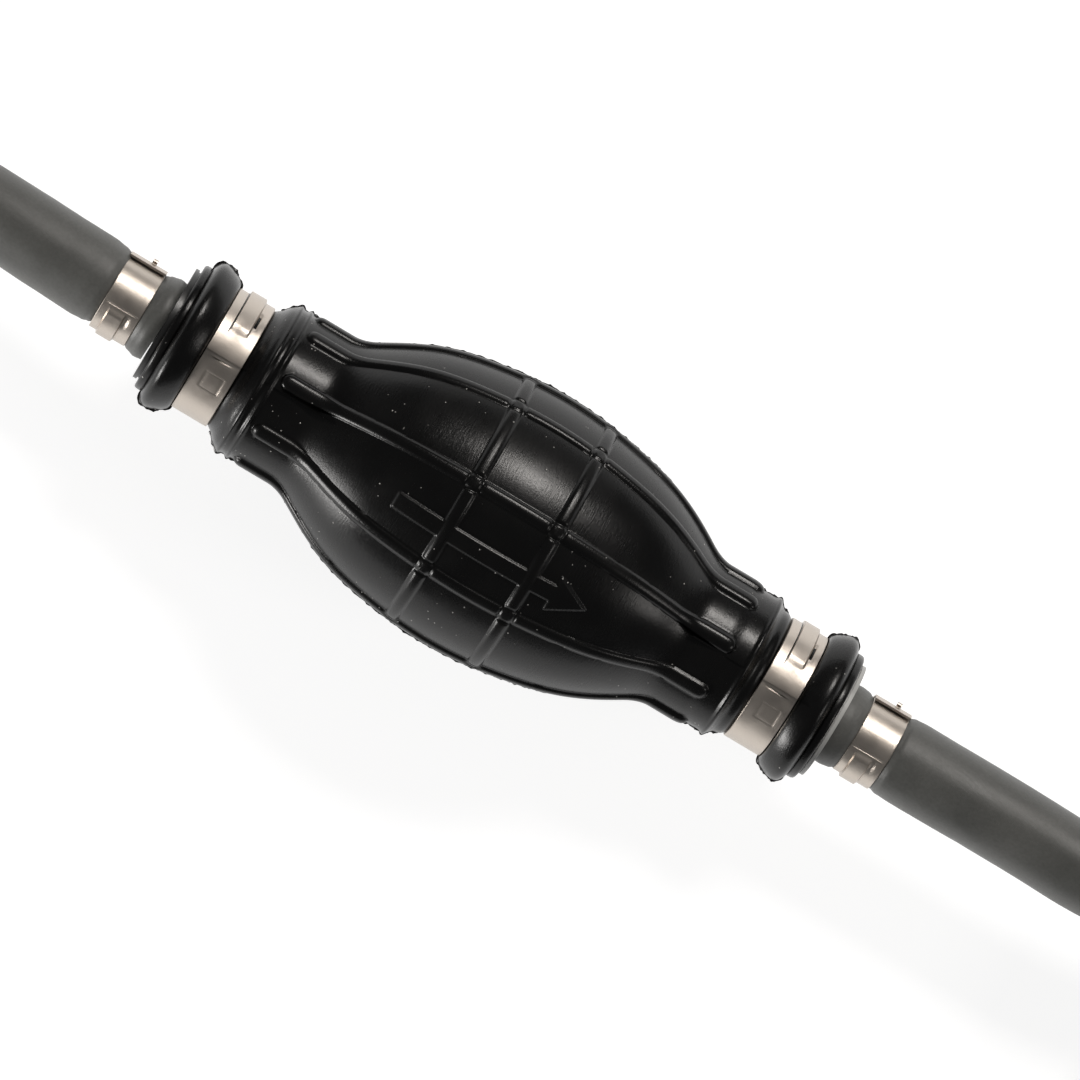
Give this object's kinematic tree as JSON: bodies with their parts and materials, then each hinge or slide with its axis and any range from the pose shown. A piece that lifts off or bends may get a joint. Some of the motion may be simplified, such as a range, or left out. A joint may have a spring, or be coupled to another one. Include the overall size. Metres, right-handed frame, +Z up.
{
  "type": "siphon bulb pump",
  "caption": "Hand-squeezed ribbed rubber primer bulb with a spring-loaded check valve in each neck, band clamps and a fuel hose on each end.",
  "frame": {"origin": "middle of the bulb's length, on the surface that the bulb lies on, without the hoses", "axes": "+X along the bulb's axis in the direction of flow, from the inlet end to the outlet end; +Z up"},
  "size_m": [0.6908, 0.1206, 0.0578],
  "materials": {
    "bulb_rubber": "black moulded rubber, semi-gloss, with a fine mould grain",
    "hose_rubber": "mid-grey extruded fuel hose, satin",
    "black_nylon": "black glass-filled nylon",
    "natural_nylon": "undyed pale nylon, satin",
    "acetal": "white acetal",
    "seal_rubber": "black fluoroelastomer",
    "spring_steel": "stainless spring wire",
    "clamp_steel": "stainless band, fine lengthwise brushing",
    "tie_strap": "black woven hook-and-loop strap"
  },
  "bodies": {
    "pump": {"bulb_shell": "bulb_rubber", "inlet_fitting": "black_nylon", "outlet_fitting": "natural_nylon", "outlet_valve_seat": "natural_nylon", "inlet_neck_clamp": "clamp_steel", "outlet_neck_clamp": "clamp_steel", "inlet_hose_clamp": "clamp_steel", "outlet_hose_clamp": "clamp_steel", "inlet_hose": "hose_rubber", "outlet_hose": "hose_rubber", "outlet_hose_hank": "hose_rubber", "outlet_hose_end": "hose_rubber", "hank_ties": "tie_strap", "inlet_valve_spring": "spring_steel", "inlet_spring_retainer": "natural_nylon", "outlet_valve_spring": "spring_steel", "outlet_spring_retainer": "natural_nylon"},
    "front_wall": {"squeeze_wall_front": "bulb_rubber"},
    "back_wall": {"squeeze_wall_back": "bulb_rubber"},
    "inlet_poppet": {"inlet_valve_poppet": "acetal", "inlet_valve_seal": "seal_rubber"},
    "outlet_poppet": {"outlet_valve_poppet": "acetal", "outlet_valve_seal": "seal_rubber"}
  },
  "joints": [
    {"name": "squeeze_front", "type": "slide", "parent": "pump", "child": "front_wall", "axis": [0, -1, 0], "range_m": [0, 0.009], "stiffness_N_per_m": 3300},
    {"name": "squeeze_back", "type": "slide", "parent": "pump", "child": "back_wall", "axis": [0, 1, 0], "range_m": [0, 0.009], "stiffness_N_per_m": 3300},
    {"name": "inlet_valve", "type": "slide", "parent": "pump", "child": "inlet_poppet", "axis": [1, 0, 0], "range_m": [0, 0.0025], "stiffness_N_per_m": 50, "deforming": ["inlet_valve_spring"]},
    {"name": "outlet_valve", "type": "slide", "parent": "pump", "child": "outlet_poppet", "axis": [1, 0, 0], "range_m": [0, 0.0025], "stiffness_N_per_m": 50, "deforming": ["outlet_valve_spring"]}
  ],
  "couplings": [
    {"joint": "squeeze_back", "follows": "squeeze_front", "ratio": 1}
  ]
}
